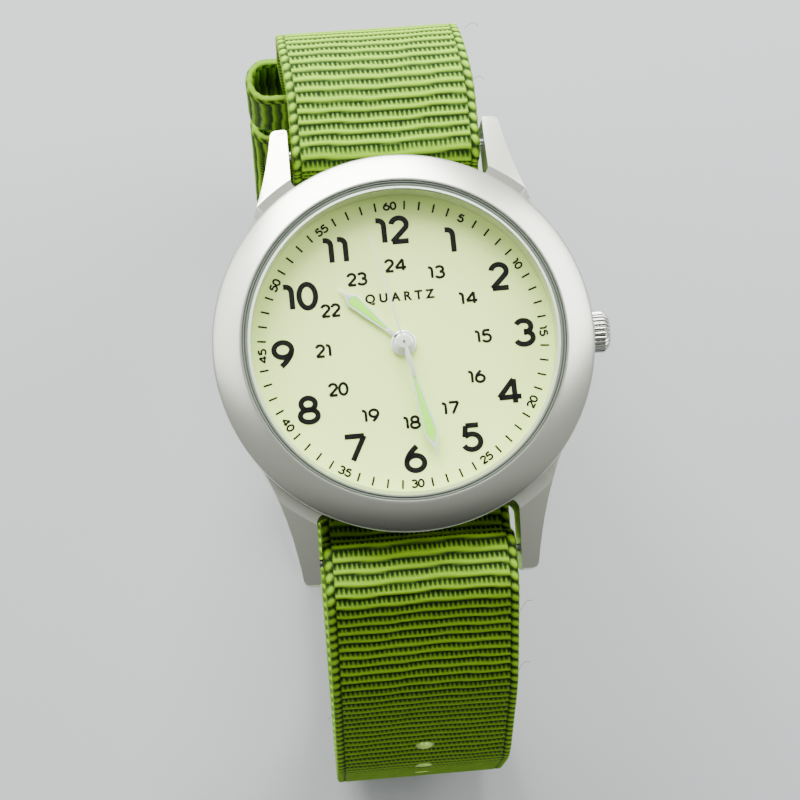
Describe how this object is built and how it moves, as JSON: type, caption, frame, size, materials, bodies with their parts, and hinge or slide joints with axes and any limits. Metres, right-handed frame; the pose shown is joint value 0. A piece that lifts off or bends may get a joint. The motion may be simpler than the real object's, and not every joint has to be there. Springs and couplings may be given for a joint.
{
  "type": "wristwatch",
  "caption": "Analog quartz wristwatch: round satin steel case with crown, cream dial, luminous hands and a pass-through ribbed nylon strap closed in a loop by a pin buckle.",
  "frame": {"origin": "middle of the strap's wrist side, straight under the dial's centre", "axes": "+Z out of the dial, +Y towards 12 o'clock, +X towards the crown at 3 o'clock"},
  "size_m": [0.0399, 0.0834, 0.0619],
  "materials": {
    "satin_steel": "fine satin, bead blasted",
    "polished_steel": "polished",
    "plain_steel": "plain turned or stamped",
    "gear_brass": "satin",
    "copper_wire": "enamelled copper winding",
    "black_plastic": "moulded, matte",
    "white_plastic": "moulded, matte",
    "board_green": "printed circuit board",
    "dial_paint": "pale cream green luminous paint, matte",
    "reflector_ring": "pale grey green, semi gloss",
    "hand_silver": "white silver, satin",
    "hand_lume": "pale green luminous paint",
    "gasket_grey": "grey translucent gasket",
    "rubber_black": "black rubber",
    "crystal_glass": "clear mineral crystal",
    "strap_nylon": "ribbed woven nylon webbing, lime green"
  },
  "bodies": {
    "watch_head_and_strap": {"case_middle": "satin_steel", "bezel": "satin_steel", "crystal": "crystal_glass", "crystal_gasket": "gasket_grey", "rehaut_ring": "reflector_ring", "caseback": "polished_steel", "caseback_gasket": "rubber_black", "crown_tube": "plain_steel", "movement_holder": "white_plastic", "main_plate": "black_plastic", "train_bridge": "plain_steel", "circuit_board": "board_green", "quartz_can": "polished_steel", "coil": "copper_wire", "coil_core": "plain_steel", "stator": "plain_steel", "battery": "polished_steel", "battery_clamp": "plain_steel", "bridge_screw_1": "plain_steel", "bridge_screw_2": "plain_steel", "bridge_screw_3": "plain_steel", "clamp_screw_1": "plain_steel", "clamp_screw_2": "plain_steel", "board_screw_1": "plain_steel", "board_screw_2": "plain_steel", "dial": "dial_paint", "spring_bar_12": "plain_steel", "spring_bar_6": "plain_steel", "strap": "strap_nylon", "keeper_fixed": "strap_nylon"},
    "seconds": {"seconds_wheel": "gear_brass", "second_hand": "hand_silver"},
    "rotor_arbor": {"rotor": "plain_steel"},
    "fifth_arbor": {"fifth_wheel": "gear_brass"},
    "third_arbor": {"third_wheel": "gear_brass"},
    "minutes": {"center_wheel": "gear_brass", "minute_hand": "hand_silver", "minute_lume": "hand_lume"},
    "minute_wheel_arbor": {"minute_wheel": "gear_brass"},
    "hours": {"hour_wheel": "gear_brass", "hour_hand": "hand_silver", "hour_lume": "hand_lume"},
    "setting_wheel_arbor": {"setting_wheel": "gear_brass"},
    "clutch": {"clutch_pinion": "plain_steel"},
    "crown_and_stem": {"crown": "polished_steel", "stem": "plain_steel", "crown_gasket": "rubber_black"},
    "lever": {"setting_lever": "plain_steel"},
    "buckle": {"buckle_frame": "polished_steel", "buckle_bar": "plain_steel"},
    "tongue": {"buckle_tongue": "polished_steel"},
    "middle_keeper": {"keeper_middle": "strap_nylon"},
    "end_keeper": {"keeper_end": "strap_nylon"}
  },
  "joints": [
    {"name": "seconds_turn", "type": "hinge", "parent": "watch_head_and_strap", "child": "seconds", "pos_m": [0, 0, 0.005], "axis": [0, 0, -1], "continuous": true},
    {"name": "rotor_turn", "type": "hinge", "parent": "watch_head_and_strap", "child": "rotor_arbor", "pos_m": [0.00298, -0.00475, 0.004], "axis": [0, 0, -1], "continuous": true},
    {"name": "fifth_turn", "type": "hinge", "parent": "watch_head_and_strap", "child": "fifth_arbor", "pos_m": [0.00233, -0.00233, 0.004], "axis": [0, 0, -1], "continuous": true},
    {"name": "third_turn", "type": "hinge", "parent": "watch_head_and_strap", "child": "third_arbor", "pos_m": [-0.00233, 0.00233, 0.004], "axis": [0, 0, -1], "continuous": true},
    {"name": "minutes_turn", "type": "hinge", "parent": "watch_head_and_strap", "child": "minutes", "pos_m": [0, 0, 0.005], "axis": [0, 0, -1], "continuous": true},
    {"name": "minute_wheel_turn", "type": "hinge", "parent": "watch_head_and_strap", "child": "minute_wheel_arbor", "pos_m": [0.00192, 0, 0.0055], "axis": [0, 0, -1], "continuous": true},
    {"name": "hours_turn", "type": "hinge", "parent": "watch_head_and_strap", "child": "hours", "pos_m": [0, 0, 0.005], "axis": [0, 0, -1], "continuous": true},
    {"name": "setting_wheel_turn", "type": "hinge", "parent": "watch_head_and_strap", "child": "setting_wheel_arbor", "pos_m": [0.00456, 0, 0.0055], "axis": [0, 0, -1], "continuous": true},
    {"name": "crown_turn", "type": "hinge", "parent": "watch_head_and_strap", "child": "clutch", "pos_m": [0.0088, 0, 0.00495], "axis": [1, 0, 0], "continuous": true},
    {"name": "crown_pull", "type": "slide", "parent": "clutch", "child": "crown_and_stem", "axis": [1, 0, 0], "range_m": [0, 0.001]},
    {"name": "lever_swing", "type": "hinge", "parent": "watch_head_and_strap", "child": "lever", "pos_m": [0.0107, 0.0022, 0.005], "axis": [0, 0, 1], "range_deg": [0, 33]},
    {"name": "buckle_swing", "type": "hinge", "parent": "watch_head_and_strap", "child": "buckle", "pos_m": [0, -0.0085, -0.0486], "axis": [1, 0, 0], "range_deg": [0, 4]},
    {"name": "tongue_swing", "type": "hinge", "parent": "buckle", "child": "tongue", "pos_m": [0, -0.0085, -0.0486], "axis": [1, 0, 0], "range_deg": [0, 3]},
    {"name": "middle_keeper_slide", "type": "hinge", "parent": "watch_head_and_strap", "child": "middle_keeper", "pos_m": [0, 0.0187, -0.032], "axis": [1, 0, 0], "range_deg": [-5, 5]},
    {"name": "end_keeper_slide", "type": "slide", "parent": "watch_head_and_strap", "child": "end_keeper", "axis": [0, 0, 1], "range_m": [-0.0008, 0.012]}
  ],
  "couplings": [
    {"joint": "rotor_turn", "follows": "seconds_turn", "ratio": 30},
    {"joint": "fifth_turn", "follows": "seconds_turn", "ratio": -5},
    {"joint": "third_turn", "follows": "seconds_turn", "ratio": -0.13333},
    {"joint": "minutes_turn", "follows": "seconds_turn", "ratio": 0.016667},
    {"joint": "minute_wheel_turn", "follows": "seconds_turn", "ratio": -0.0055556},
    {"joint": "hours_turn", "follows": "seconds_turn", "ratio": 0.0013889},
    {"joint": "setting_wheel_turn", "follows": "seconds_turn", "ratio": 0.0066667},
    {"joint": "lever_swing", "follows": "crown_pull", "rad_per_m": 570}
  ]
}
